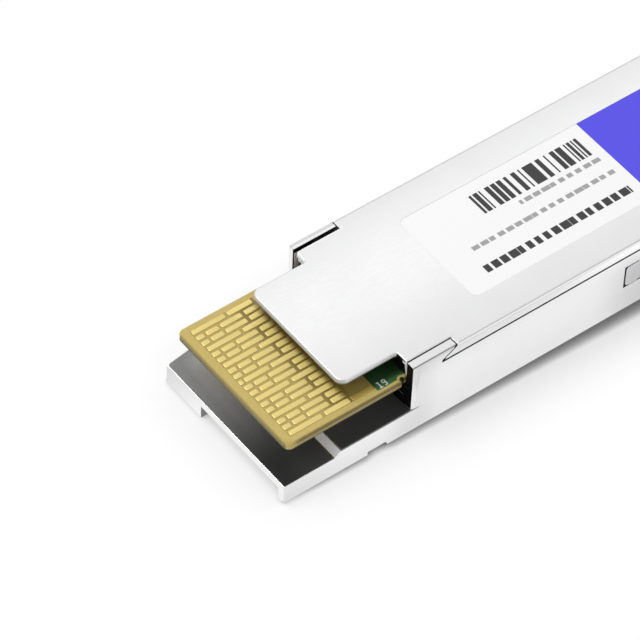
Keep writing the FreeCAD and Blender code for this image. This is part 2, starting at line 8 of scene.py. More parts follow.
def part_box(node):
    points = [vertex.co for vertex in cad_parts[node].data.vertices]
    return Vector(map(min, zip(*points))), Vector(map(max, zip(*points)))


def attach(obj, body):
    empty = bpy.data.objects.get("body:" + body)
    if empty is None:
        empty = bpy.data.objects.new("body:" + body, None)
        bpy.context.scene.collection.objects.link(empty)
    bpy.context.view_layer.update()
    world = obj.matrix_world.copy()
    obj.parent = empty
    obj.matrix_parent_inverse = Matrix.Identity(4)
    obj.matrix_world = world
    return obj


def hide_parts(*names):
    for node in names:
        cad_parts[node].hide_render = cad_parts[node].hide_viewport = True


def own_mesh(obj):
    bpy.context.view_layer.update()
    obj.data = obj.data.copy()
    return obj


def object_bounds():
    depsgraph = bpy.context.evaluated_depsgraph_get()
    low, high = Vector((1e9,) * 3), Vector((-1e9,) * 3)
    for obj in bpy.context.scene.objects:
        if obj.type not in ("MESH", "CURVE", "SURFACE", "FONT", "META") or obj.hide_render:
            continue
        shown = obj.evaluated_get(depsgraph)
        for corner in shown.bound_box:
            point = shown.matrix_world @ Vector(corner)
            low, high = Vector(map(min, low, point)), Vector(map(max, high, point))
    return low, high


bl_info = {
    "name": "Pluggable Loopback Module",
    "version": (1, 0, 0),
    "blender": (4, 5, 0),
    "location": "3D View > Sidebar > Loopback",
    "description": "Dresses the packed loopback module with its finishes and fine pieces",
    "category": "Object",
}

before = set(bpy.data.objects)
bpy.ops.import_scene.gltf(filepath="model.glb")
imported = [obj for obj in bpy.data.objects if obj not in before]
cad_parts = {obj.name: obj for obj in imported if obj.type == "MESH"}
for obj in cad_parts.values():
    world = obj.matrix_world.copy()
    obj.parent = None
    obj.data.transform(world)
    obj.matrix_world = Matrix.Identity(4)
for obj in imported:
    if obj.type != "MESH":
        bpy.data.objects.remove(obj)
CAD_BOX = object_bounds()
MM = 0.001
TIP = CAD_BOX[0].x
BOARD_LOW, BOARD_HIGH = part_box("paddle_board")


# Places on the shells and the board, millimetres: x from the connector tip, z from the table.
# A slope is the change in one place for a millimetre of the other, the soft edge a rounded edge's width.

SHOULDER = 14.1
TAB_END = 19.1
FAR_TAB_FACE = (8.4, 8.54)
HOOK_START, HOOK_END = 17.38, 19.26
HOOK_FOOT, HOOK_SLOPE = (17.42, 7.55), 0.594
SHELL_END = 88.8
TRAY_FLOOR = 1.45
LID_TOP = 8.46
WEDGE_SLOPE = 0.167
SOFT_EDGE = 0.06
BOARD_NOTCH = (13.87, -7.98)


# Near side of the module and how far its mirror image of the floor moves per millimetre of height

NEAR_SIDE = -9.175
MIRROR_DROP = (0.556, 0.683)


# Contact shades on the floor: reach in millimetres and depth, each at both ends of a run along x,
# and what is left of the depth before the tip

SHADE_RUN = (2.0, 40.0)
SHADE_TIP = (-1.0, 4.0)
CONTACT_SHADES = (((0.5, 1.7), (1.2, 6.0), 0.25), ((8.0, 8.0), (0.25, 0.5), 1.0))
SHADE_SAMPLES = 16


# Floor: half its length in metres, its own light, and the share of its colour that this light replaces

FLOOR_HALF = 3.0
FLOOR_GLOW = 0.8
FLOOR_SEEN = 0.75


# Lower edge of the sides, millimetres: section as inset and height, stations along x with the section's
# size there, the notch's sloped end and the far side's taper

EDGE_SECTION = ((-0.004, 0.36), (-0.004, 0.07), (0.07, 0.0), (0.26, 0.0), (0.26, 0.05), (0.05, 0.36))
EDGE_RUNS = ((0.0, 5.65, 9.37), (11.41, 88.4, 89.1))
EDGE_SIZE = ((1.0, 1.0, 1.0), (1.0, 1.0, 0.1))
EDGE_HEART = 0.2
NOTCH_TOP, NOTCH_SLOPE = 0.5, 0.48
FAR_TAPER, TAPER_END = 0.79, 5.65


# Contact pads, millimetres: columns from side to side, each a row of pads from front to rear,
# and a pad's levels as growth of its outline and height

PAD_PITCH = 0.8
PAD_COLUMNS = 19
MIDDLE_COLUMN = 10
GROUND_COLUMNS = (1, 4, 7, 13, 16, 19)
GROUND_ROWS = ((1.95, 5.55), (5.9, 8.55), (8.8, 11.1))
SIGNAL_ROWS = ((1.88, 2.7), (2.95, 4.3), (4.55, 6.85), (7.2, 8.87))
MIDDLE_ROWS = ((1.83, 2.27), (2.45, 5.15), (5.4, 8.7))
PAD_CORNER = 0.11
PAD_LEVELS = ((0.02, -0.005), (0.02, 0.004), (0.0, 0.04), (-0.025, 0.056), (-0.06, 0.06))
PAD_FOOT = 0.045
# Gold copies towards the lid: a brighter matt one as painted light, a darker one as painted shade, and one
# as painted shadow under the lid's lip
MATT_LIT_GOLD = (0.93, 0.74, 0.25)
SHADED_GOLD = (0.48, 0.35, 0.075)
LIP_SHADOW_GOLD = (0.3, 0.2, 0.02)


# White number on the board: centre and half size of its strokes, and its ring, millimetres

NUMBER_STROKES = (
    ((11.80, -7.38), (0.05, 0.36)),
    ((11.80, -7.71), (0.17, 0.045)),
    ((11.71, -7.09), (0.10, 0.045)),
    ((12.49, -7.42), (0.05, 0.26)),
    ((12.38, -7.69), (0.12, 0.045)),
)
NUMBER_RING = ((12.34, -7.22), 0.16, 0.05)


# Label, millimetres: field's front edge, centre and half size of the bars, width and odds of a bar's
# cells, and each rule's ends along x, place across, half height and tone

FIELD_START = 44.95
BARS_PLACE = ((37.35, 3.02), (6.35, 1.28))
BAR_CELLS = ((0.34, 0.25), (0.17, 0.42))
LABEL_RULES = (
    ((34.4, 43.9, 0.95), 0.26, 0.38),
    ((27.2, 44.0, -1.0), 0.26, 0.38),
    ((26.7, 43.8, -3.6), 0.46, 0.02),
)
RULE_SHIFT = 3.7
DASH_LEAST, DASH_SPREAD = 0.52, 0.5


# Springs and grip ribs, millimetres

SPRING_WIRE = 0.3
SPRING_TURNS = 6
SPRING_CLOSING = 0.7
SPRING_STEPS, WIRE_STEPS = 24, 12
STRAP_LEVELS = (3.575, 5.375)
RIB_START, RIB_PITCH, RIB_COUNT = 98.6, 1.4, 5
RIB_HALF = (0.4, 0.3)
RIB_REACH = 4.6
RIB_STEPS = (25, 16)


# Inner parts: nodes, tone and roughness of each finish

INNER_LOOKS = {
    "gasket_foam": (["emi_gasket"], (0.2, 0.2, 0.205), 0.7),
    "chip_ceramic": (["coupling_capacitors", "supply_capacitors"], (0.42, 0.33, 0.22), 0.4),
    "resistor_ceramic": (["load_resistors"], (0.05, 0.05, 0.055), 0.4),
    "chip_package": (
        ["load_transistors", "controller_chip", "temperature_sensors"],
        (0.03, 0.03, 0.032),
        0.5,
    ),
    "inductor_ferrite": (["filter_inductors"], (0.1, 0.1, 0.105), 0.6),
    "thermal_pad": (["thermal_pad"], (0.3, 0.4, 0.55), 0.7),
}


# Short hand for shader nodes


class Graph:
    """Places and joins the nodes of one material, world or node group."""

    def __init__(self, tree):
        self.tree = tree
        self.nodes = tree.nodes
        self.links = tree.links

    def add(self, kind, inputs=None, **settings):
        """New node with its settings made and its inputs fed."""
        node = self.nodes.new(kind)
        for name, value in settings.items():
            setattr(node, name, value)
        for key, value in (inputs or {}).items():
            self.feed(node.inputs[key], value)
        return node

    def feed(self, socket, value):
        """Joins a socket to another node's output, or sets its value."""
        if isinstance(value, bpy.types.NodeSocket):
            self.links.new(value, socket)
        else:
            socket.default_value = value

    def math(self, operation, *values):
        """One Math node; values are sockets or numbers."""
        return self.add("ShaderNodeMath", dict(enumerate(values)), operation=operation).outputs[0]

    def ramp(self, value, low, high, start=0.0, end=1.0, shape="SMOOTHSTEP"):
        """Smooth step, or straight line, of a value from low to high."""
        values = {"Value": value, "From Min": low, "From Max": high, "To Min": start, "To Max": end}
        return self.add("ShaderNodeMapRange", values, interpolation_type=shape).outputs["Result"]

    def blend(self, share, first, second):
        """Mix of two colours by a share."""
        values = {"Factor": share, "A": first, "B": second}
        return self.add("ShaderNodeMix", values, data_type="RGBA").outputs["Result"]

    def noise(self, vector, scale, detail=2.0, roughness=0.5):
        """Value of a noise texture."""
        values = {"Vector": vector, "Scale": scale, "Detail": detail, "Roughness": roughness}
        return self.add("ShaderNodeTexNoise", values).outputs["Fac"]

    def stretch(self, vector, factors):
        """Vector times three factors."""
        node = self.add("ShaderNodeVectorMath", {0: vector, 1: factors}, operation="MULTIPLY")
        return node.outputs["Vector"]

    def group(self, tree, inputs):
        """Outputs of a shared effect with its own values."""
        return self.add("ShaderNodeGroup", inputs, node_tree=tree).outputs

    def both(self, *masks):
        """Where all masks hold: their product."""
        product = masks[0]
        for mask in masks[1:]:
            product = self.math("MULTIPLY", product, mask)
        return product

    def either(self, *masks):
        """Where at least one mask holds: the greatest of them."""
        most = masks[0]
        for mask in masks[1:]:
            most = self.math("MAXIMUM", most, mask)
        return most

    def without(self, mask):
        """Where a mask doesn't hold."""
        return self.math("SUBTRACT", 1.0, mask)


def colour(values, share=1.0):
    """Four numbers of a colour socket, for a share of a tone."""
    return (*[share * value for value in values], 1.0)


WHITE = colour((1.0, 1.0, 1.0))
BLACK = colour((0.0, 0.0, 0.0))
FLOAT = "NodeSocketFloat"
VECTOR = "NodeSocketVector"


def new_group(name, inputs, outputs):
    """Empty shader node group with float or vector sockets, and its two end nodes."""
    tree = bpy.data.node_groups.new(name, "ShaderNodeTree")
    for label, kind in inputs:
        tree.interface.new_socket(label, in_out="INPUT", socket_type=kind)
    for label, kind in outputs:
        tree.interface.new_socket(label, in_out="OUTPUT", socket_type=kind)
    graph = Graph(tree)
    return graph, graph.add("NodeGroupInput").outputs, graph.add("NodeGroupOutput").inputs


def place_group():
    """Object place in millimetres: x from the connector tip, y from the middle plane, z from the table."""
    graph, given, made = new_group(
        "place_in_mm",
        [("Object", VECTOR)],
        [("Place", VECTOR), ("X", FLOAT), ("Y", FLOAT), ("Z", FLOAT), ("Side", FLOAT)],
    )
    shift = graph.add("ShaderNodeVectorMath", {0: given["Object"], 1: (-TIP, 0, 0)}, operation="ADD")
    scaled = graph.stretch(shift.outputs["Vector"], (1 / MM, 1 / MM, 1 / MM))
    parts = graph.add("ShaderNodeSeparateXYZ", {"Vector": scaled}).outputs
    graph.feed(made["Place"], scaled)
    for axis in "XYZ":
        graph.feed(made[axis], parts[axis])
    graph.feed(made["Side"], graph.math("ABSOLUTE", parts["Y"]))
    return graph.tree


def field_group():
    """Mask of a rounded rectangle: one inside, from the signed distance to its rounded outline."""
    names = ["X", "Y", "Centre X", "Centre Y", "Half X", "Half Y", "Corner", "Soft"]
    graph, given, made = new_group("rounded_field", [(name, FLOAT) for name in names], [("Mask", FLOAT)])
    past = []
    for axis in "XY":
        off = graph.math("ABSOLUTE", graph.math("SUBTRACT", given[axis], given["Centre " + axis]))
        past.append(graph.math("ADD", graph.math("SUBTRACT", off, given["Half " + axis]), given["Corner"]))
    squares = [graph.math("POWER", graph.math("MAXIMUM", value, 0.0), 2.0) for value in past]
    length = graph.math("SQRT", graph.math("ADD", *squares))
    inside = graph.math("MINIMUM", graph.math("MAXIMUM", *past), 0.0)
    distance = graph.math("SUBTRACT", graph.math("ADD", length, inside), given["Corner"])
    share = graph.math("DIVIDE", distance, given["Soft"])
    graph.feed(made["Mask"], graph.ramp(share, 1.0, -1.0))
    return graph.tree


def grain_group():
    """Fine uneven surface: cloudy large-scale change, fine grain, and long rubbed streaks along x."""
    graph, given, made = new_group(
        "surface_grain",
        [("Place", VECTOR), ("Cloud Size", FLOAT), ("Grain Size", FLOAT)],
        [("Cloud", FLOAT), ("Grain", FLOAT), ("Streak", FLOAT)],
    )
    cloud_scale = graph.math("DIVIDE", 1.0, given["Cloud Size"])
    grain_scale = graph.math("DIVIDE", 1.0, given["Grain Size"])
    graph.feed(made["Cloud"], graph.noise(given["Place"], cloud_scale, 3.0))
    graph.feed(made["Grain"], graph.noise(given["Place"], grain_scale, 2.0, 0.6))
    long_place = graph.stretch(given["Place"], (0.08, 1.0, 1.0))
    graph.feed(made["Streak"], graph.noise(long_place, grain_scale, 3.0, 0.65))
    return graph.tree


PLACE = place_group()
FIELD = field_group()
GRAIN = grain_group()


class Finish(Graph):
    """One material: its Principled shader, the place in millimetres and the shared effects."""

    def __init__(self, name):
        self.material = bpy.data.materials.new(name)
        self.material.use_nodes = True
        super().__init__(self.material.node_tree)
        self.shader = self.nodes["Principled BSDF"]
        object_place = self.add("ShaderNodeTexCoord").outputs["Object"]
        self.place = self.group(PLACE, {"Object": object_place})

    def set(self, **values):
        """Feeds sockets of the Principled shader; an underscore in a name stands for a space."""
        for name, value in values.items():
            self.feed(self.shader.inputs[name.replace("_", " ")], value)

    def tones(self, share, tone, low, high):
        """Colour between two shades of one tone."""
        return self.blend(share, colour(tone, low), colour(tone, high))

    def uneven(self, noise, low, high):
        """Value that wanders between two limits with a noise."""
        return self.ramp(noise, 0.3, 0.7, low, high)

    def along(self, axis, low, high, start=0.0, end=1.0):
        """Smooth step between two places along one axis, millimetres."""
        return self.ramp(self.place[axis], low, high, start, end)

    def beyond(self, axis, place, soft=0.02):
        """Mask of what lies past a place along one axis, millimetres."""
        return self.along(axis, place - soft, place + soft)

    def short_of(self, axis, place, soft=0.02):
        """Mask of what lies before a place along one axis, millimetres."""
        return self.along(axis, place - soft, place + soft, 1.0, 0.0)

    def zone(self, **slabs):
        """Mask of a box: by axis its ends in millimetres, None where it is open, and a soft width."""
        masks = []
        for axis, (low, high, *soft) in slabs.items():
            if low is not None:
                masks.append(self.beyond(axis, low, *soft))
            if high is not None:
                masks.append(self.short_of(axis, high, *soft))
        return self.both(*masks)

    def grain(self, cloud_size, grain_size):
        """Outputs of the shared surface grain."""
        sizes = {"Cloud Size": cloud_size, "Grain Size": grain_size}
        return self.group(GRAIN, {"Place": self.place["Place"], **sizes})

    def field(self, centre, half, corner=0.0, soft=0.03):
        """Mask of a rounded rectangle seen from above, millimetres."""
        values = {"Corner": corner, "Soft": soft}
        for index, axis in enumerate("XY"):
            values[axis] = self.place[axis]
            values["Centre " + axis] = centre[index]
            values["Half " + axis] = half[index]
        return self.group(FIELD, values)["Mask"]

    def ring(self, centre, radius, half, soft=0.03):
        """Mask of a ring seen from above, millimetres; a disc where the radius is zero."""
        off = [self.math("SUBTRACT", self.place[axis], value) for axis, value in zip("XY", centre)]
        length = self.math("SQRT", self.math("ADD", *[self.math("POWER", value, 2.0) for value in off]))
        distance = self.math("ABSOLUTE", self.math("SUBTRACT", length, radius))
        return self.ramp(distance, half + soft, half - soft)

    def chance(self, cell):
        """Random value of a numbered cell."""
        return self.add("ShaderNodeTexWhiteNoise", {"W": cell}, noise_dimensions="1D").outputs["Value"]

    def bump(self, height, strength, distance):
        """Bump of a height in millimetres on the shader's normal."""
        values = {"Height": height, "Strength": strength, "Distance": distance * MM}
        self.set(Normal=self.add("ShaderNodeBump", values).outputs["Normal"])


def dress(names, material):
    """Gives CAD nodes a material."""
    for name in names:
        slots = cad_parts[name].data.materials
        slots.clear()
        slots.append(material)


def soften(name, width):
    """Rounds the sharp edges of a CAD node by modifiers: joins its triangles, clears flat faces, bevels."""
    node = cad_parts[name]
    node.modifiers.new("join", "WELD").merge_threshold = 1e-6
    flat = node.modifiers.new("flat", "DECIMATE")
    flat.decimate_type = "DISSOLVE"
    flat.angle_limit = math.radians(1.0)
    bevel = node.modifiers.new("edges", "BEVEL")
    bevel.width = width * MM
    bevel.segments = 2
    bevel.limit_method = "ANGLE"
    bevel.angle_limit = math.radians(32)
    bevel.offset_type = "ABSOLUTE"
    bevel.use_clamp_overlap = False
    bevel.harden_normals = True


def new_piece(name, points, faces, material, body):
    """Mesh object at the origin from points in metres, riding on a CAD body."""
    mesh = bpy.data.meshes.new(name)
    mesh.from_pydata(points.reshape(-1, 3), [], faces)
    mesh.update()
    mesh.materials.append(material)
    piece = bpy.data.objects.new(name, mesh)
    bpy.context.scene.collection.objects.link(piece)
    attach(piece, body)
    return piece


def smooth(piece, angle):
    """Smooth shading with edges sharper than an angle kept sharp."""
    piece.data.shade_smooth()
    piece.data.set_sharp_from_angle(angle=math.radians(angle))


def tube_faces(count, rows, columns, turn=1):
    """Walls and end faces of closed tubes, stored tube by tube and row by row; a turn of -1 flips them."""
    row, column = np.meshgrid(np.arange(rows - 1), np.arange(columns), indexing="ij")
    after = (column + 1) % columns
    corners = [(row, column), (row, after), (row + 1, after), (row + 1, column)]
    walls = np.stack([(a * columns + b).ravel() for a, b in corners], axis=1)
    first = np.arange(count)[:, None] * rows * columns
    walls = (first[:, :, None] + walls).reshape(-1, 4)
    starts = first + np.arange(columns)[::-1]
    ends = first + (rows - 1) * columns + np.arange(columns)
    return [face for part in (walls, starts, ends) for face in part[:, ::turn].tolist()]


# Settings


class ShellFinish(bpy.types.PropertyGroup):
    """Plated die-cast shells."""

    nickel: bpy.props.FloatVectorProperty(
        name="Nickel",
        description="Colour of the bright plating",
        subtype="COLOR",
        default=(0.91, 0.91, 0.912),
    )
    # Level: darker copy of the plating, painted as shade on level top faces
    level: bpy.props.FloatVectorProperty(
        name="Level",
        description="Colour of the plating on level top faces",
        subtype="COLOR",
        default=(0.728, 0.728, 0.73),
    )
    # Cast: tone of the as-cast faces, also laid at set shares as painted light and shade on edges and
    # corners
    cast: bpy.props.FloatVectorProperty(
        name="Cast", description="Colour of the as-cast faces", subtype="COLOR", default=(0.96, 0.96, 0.975)
    )
    # Inside: near-black tone painted as shade on the inner walls, openings and gaps
    inside: bpy.props.FloatVectorProperty(
        name="Inside", description="Colour of the inner walls", subtype="COLOR", default=(0.02, 0.02, 0.021)
    )
    polish: bpy.props.FloatProperty(
        name="Polish", description="Roughness of the plated faces", default=0.2, min=0.02, max=0.6
    )


class BoardFinish(bpy.types.PropertyGroup):
    """Paddle board and its plated contacts."""

    laminate: bpy.props.FloatVectorProperty(
        name="Laminate", description="Colour of the bare board", subtype="COLOR", default=(0.60, 0.465, 0.14)
    )
    # Laminate shade: darker brown painted as shade between the pads, on the front face, the flanks, below
    # and at the notch
    core: bpy.props.FloatVectorProperty(
        name="Core",
        description="Colour of the inner layers at the edge",
        subtype="COLOR",
        default=(0.15, 0.11, 0.018),
    )
    gold: bpy.props.FloatVectorProperty(
        name="Gold", description="Colour of the plated pads", subtype="COLOR", default=(0.705, 0.567, 0.205)
    )
    solder_mask: bpy.props.FloatVectorProperty(
        name="Solder Mask",
        description="Colour of the coated board",
        subtype="COLOR",
        default=(0.042, 0.145, 0.046),
    )
    ink: bpy.props.FloatVectorProperty(
        name="Ink", description="Colour of the printed number", subtype="COLOR", default=(0.82, 0.82, 0.8)
    )
    pad_width: bpy.props.FloatProperty(
        name="Pad Width", description="Width of a contact pad in millimetres", default=0.55, min=0.3, max=0.7
    )


class LabelPrint(bpy.types.PropertyGroup):
    """Paper label and its plain fields."""

    paper: bpy.props.FloatVectorProperty(
        name="Paper", description="Colour of the paper", subtype="COLOR", default=(0.99, 0.99, 0.992)
    )
    field: bpy.props.FloatVectorProperty(
        name="Field", description="Colour of the plain field", subtype="COLOR", default=(0.083, 0.066, 0.82)
    )
    ink: bpy.props.FloatVectorProperty(
        name="Ink", description="Colour of the bars", subtype="COLOR", default=(0.02, 0.02, 0.021)
    )


class StudioStage(bpy.types.PropertyGroup):
    """Floor, light and camera."""

    floor: bpy.props.FloatVectorProperty(
        name="Floor", description="Colour of the floor", subtype="COLOR", default=(0.92, 0.92, 0.92)
    )
    fill: bpy.props.FloatProperty(
        name="Fill", description="Strength of the light from all round", default=0.6
    )
    key: bpy.props.FloatProperty(
        name="Key", description="Power of the main lamp", default=1.5, subtype="POWER", unit="POWER"
    )
    strip: bpy.props.FloatProperty(
        name="Strip",
        description="Power of the lamp that the lid mirrors",
        default=0.0042,
        subtype="POWER",
        unit="POWER",
    )
    lens: bpy.props.FloatProperty(
        name="Lens", description="Focal length of the camera", default=240.82, subtype="DISTANCE_CAMERA"
    )


# Stage, pieces and groups of pieces


class LOOPBACK_OT_stage(bpy.types.Operator):
    """Pale floor, soft light and the camera at the photograph's angle"""

    bl_idname = "loopback.stage"
    bl_label = "Stage"

    def execute(self, context):
        settings = context.scene.loopback_stage
        context.scene.view_settings.view_transform = "Standard"
        self.make_world(context.scene, settings)
        self.make_floor(settings)
        self.make_lamps(settings)
        self.make_camera(context.scene, settings)
        return {"FINISHED"}

    def make_world(self, scene, settings):
        """White where it is seen, mirrored or seen through glass, and a plain fill level otherwise."""
        world = bpy.data.worlds.new("studio")
        world.use_nodes = True
        scene.world = world
        graph = Graph(world.node_tree)
        path = graph.add("ShaderNodeLightPath").outputs
        rays = [path[name] for name in ("Is Camera Ray", "Is Glossy Ray", "Is Transmission Ray")]
        background = graph.nodes["Background"]
        graph.feed(background.inputs["Color"], WHITE)
        graph.feed(background.inputs["Strength"], graph.either(*rays, settings.fill))

    def make_floor(self, settings):
        """Level white sheet under the module, with a contact shade that grows from the tip to the body."""
        corners = FLOOR_HALF * np.array([(-1, -1, 0), (1, -1, 0), (1, 1, 0), (-1, 1, 0)])
        mesh = bpy.data.meshes.new("floor")
        mesh.from_pydata(corners, [], [(0, 1, 2, 3)])
        sheet = Finish("floor")
        path = sheet.add("ShaderNodeLightPath").outputs
        seen, mirrored = path["Is Camera Ray"], path["Is Glossy Ray"]
        plain = sheet.without(sheet.both(sheet.either(seen, mirrored), FLOOR_SEEN))
        glow = sheet.both(seen, self.contact_shade(sheet), FLOOR_GLOW)
        image = sheet.both(mirrored, self.mirrored_glow(sheet))
        sheet.set(
            Base_Color=sheet.blend(plain, BLACK, colour(settings.floor)),
            Roughness=0.9,
            Specular_IOR_Level=0.0,
            Emission_Color=WHITE,
            Emission_Strength=sheet.math("ADD", glow, image),
        )
        mesh.materials.append(sheet.material)
        floor = bpy.data.objects.new("floor", mesh)
        bpy.context.scene.collection.objects.link(floor)

    def contact_shade(self, sheet):
        """Tight and wide shade where the module nears the floor, deeper and wider towards the body."""
        along = sheet.place["X"]
        shades = []
        for reach, depth, tip in CONTACT_SHADES:
            reach = sheet.ramp(along, *SHADE_RUN, reach[0] * MM, reach[1] * MM, "LINEAR")
            depth = sheet.ramp(along, *SHADE_RUN, *depth, "LINEAR")
            depth = sheet.both(depth, sheet.ramp(along, *SHADE_TIP, tip, 1.0))
            near = sheet.add("ShaderNodeAmbientOcclusion", {"Distance": reach}, samples=SHADE_SAMPLES)
            shades.append(sheet.math("POWER", near.outputs["AO"], depth))
        return sheet.both(*shades)

    def mirrored_glow(self, sheet):
        """Level of the floor as the near side mirrors it.

        A point at x and height z of that side mirrors the floor at (x + a z, side - b z), with a and b
        from the line of sight.  The level is dim by the foot, at the tip, about the shoulder and past the
        slot, and before the tip on the far side.
        """
        place = sheet.place
        away = sheet.math("SUBTRACT", NEAR_SIDE, place["Y"])
        rise = sheet.math("DIVIDE", away, MIRROR_DROP[1])
        along = sheet.math("SUBTRACT", place["X"], sheet.math("MULTIPLY", rise, MIRROR_DROP[0]))
        lid = sheet.ramp(rise, 6.9, 7.5)
        shoulder = sheet.both(sheet.ramp(along, 10.5, 14.4, 0.0, 0.11), sheet.ramp(along, 18.0, 14.9))
        tip = sheet.ramp(along, 0.0, 8.0, 0.1, 0.0)
        slot = sheet.both(sheet.ramp(along, 35.0, 41.0, 0.0, 0.2), sheet.without(lid))
        dim = sheet.math("ADD", sheet.math("ADD", shoulder, tip), slot)
        lid_level = sheet.both(lid, sheet.ramp(along, 28.0, 42.0, -0.2, 0.32))
        change = sheet.both(sheet.math("SUBTRACT", lid_level, dim), sheet.ramp(away, -0.6, 0.0))
        level = sheet.ramp(rise, 0.0, 3.4, 0.745, 0.78)
        far = sheet.ramp(place["Y"], 4.0, 9.0, -0.02, 0.17, "LINEAR")
        front = sheet.both(sheet.ramp(place["X"], 0.2, -0.2), far)
        return sheet.math("ADD", sheet.math("SUBTRACT", level, front), change)

    def make_lamps(self, settings):
        """A large key lamp high on the far side, and a long strip that the lid mirrors as a soft band."""
        self.lamp("key_lamp", (-0.16, 0.22, 0.6), (0, 0, 0), (0.25, 0.25), settings.key)
        self.lamp("lid_strip", (0.02, 0.0427, 0.0685), (0.02, 0.0, 0.0085), (0.3, 0.011), settings.strip)

    def lamp(self, name, place, aim, size, power):
        """Rectangular lamp that looks at a point."""
        data = bpy.data.lights.new(name, "AREA")
        data.shape = "RECTANGLE"
        data.size, data.size_y = size
        data.energy = power
        lamp = bpy.data.objects.new(name, data)
        lamp.location = place
        lamp.rotation_euler = (Vector(aim) - Vector(place)).to_track_quat("-Z", "Y").to_euler()
        lamp.visible_camera = False
        bpy.context.scene.collection.objects.link(lamp)

    def make_camera(self, scene, settings):
        """Camera on the photograph's line of sight: azimuth, elevation and roll about a point of the lid."""
        azimuth, elevation, roll = -0.683715, 0.849109, 0.0433376
        distance, across, upwards = 0.3854076, -0.0032591, 0.0013829
        target = Vector((TIP + 15 * MM, 0, 4 * MM))
        right = Vector((math.cos(azimuth), math.sin(azimuth), 0))
        flat = math.cos(elevation)
        back = Vector((flat * math.sin(azimuth), -flat * math.cos(azimuth), math.sin(elevation)))
        up = back.cross(right)
        turned_right = math.cos(roll) * right + math.sin(roll) * up
        turned_up = math.cos(roll) * up - math.sin(roll) * right
        place = target + distance * back + across * turned_right + upwards * turned_up
        data = bpy.data.cameras.new("camera")
        data.lens = settings.lens
        data.sensor_width = 36.0
        camera = bpy.data.objects.new("camera", data)
        axes = Matrix((turned_right, turned_up, back)).transposed()
        camera.matrix_world = Matrix.Translation(place) @ axes.to_4x4()
        scene.collection.objects.link(camera)
        scene.camera = camera


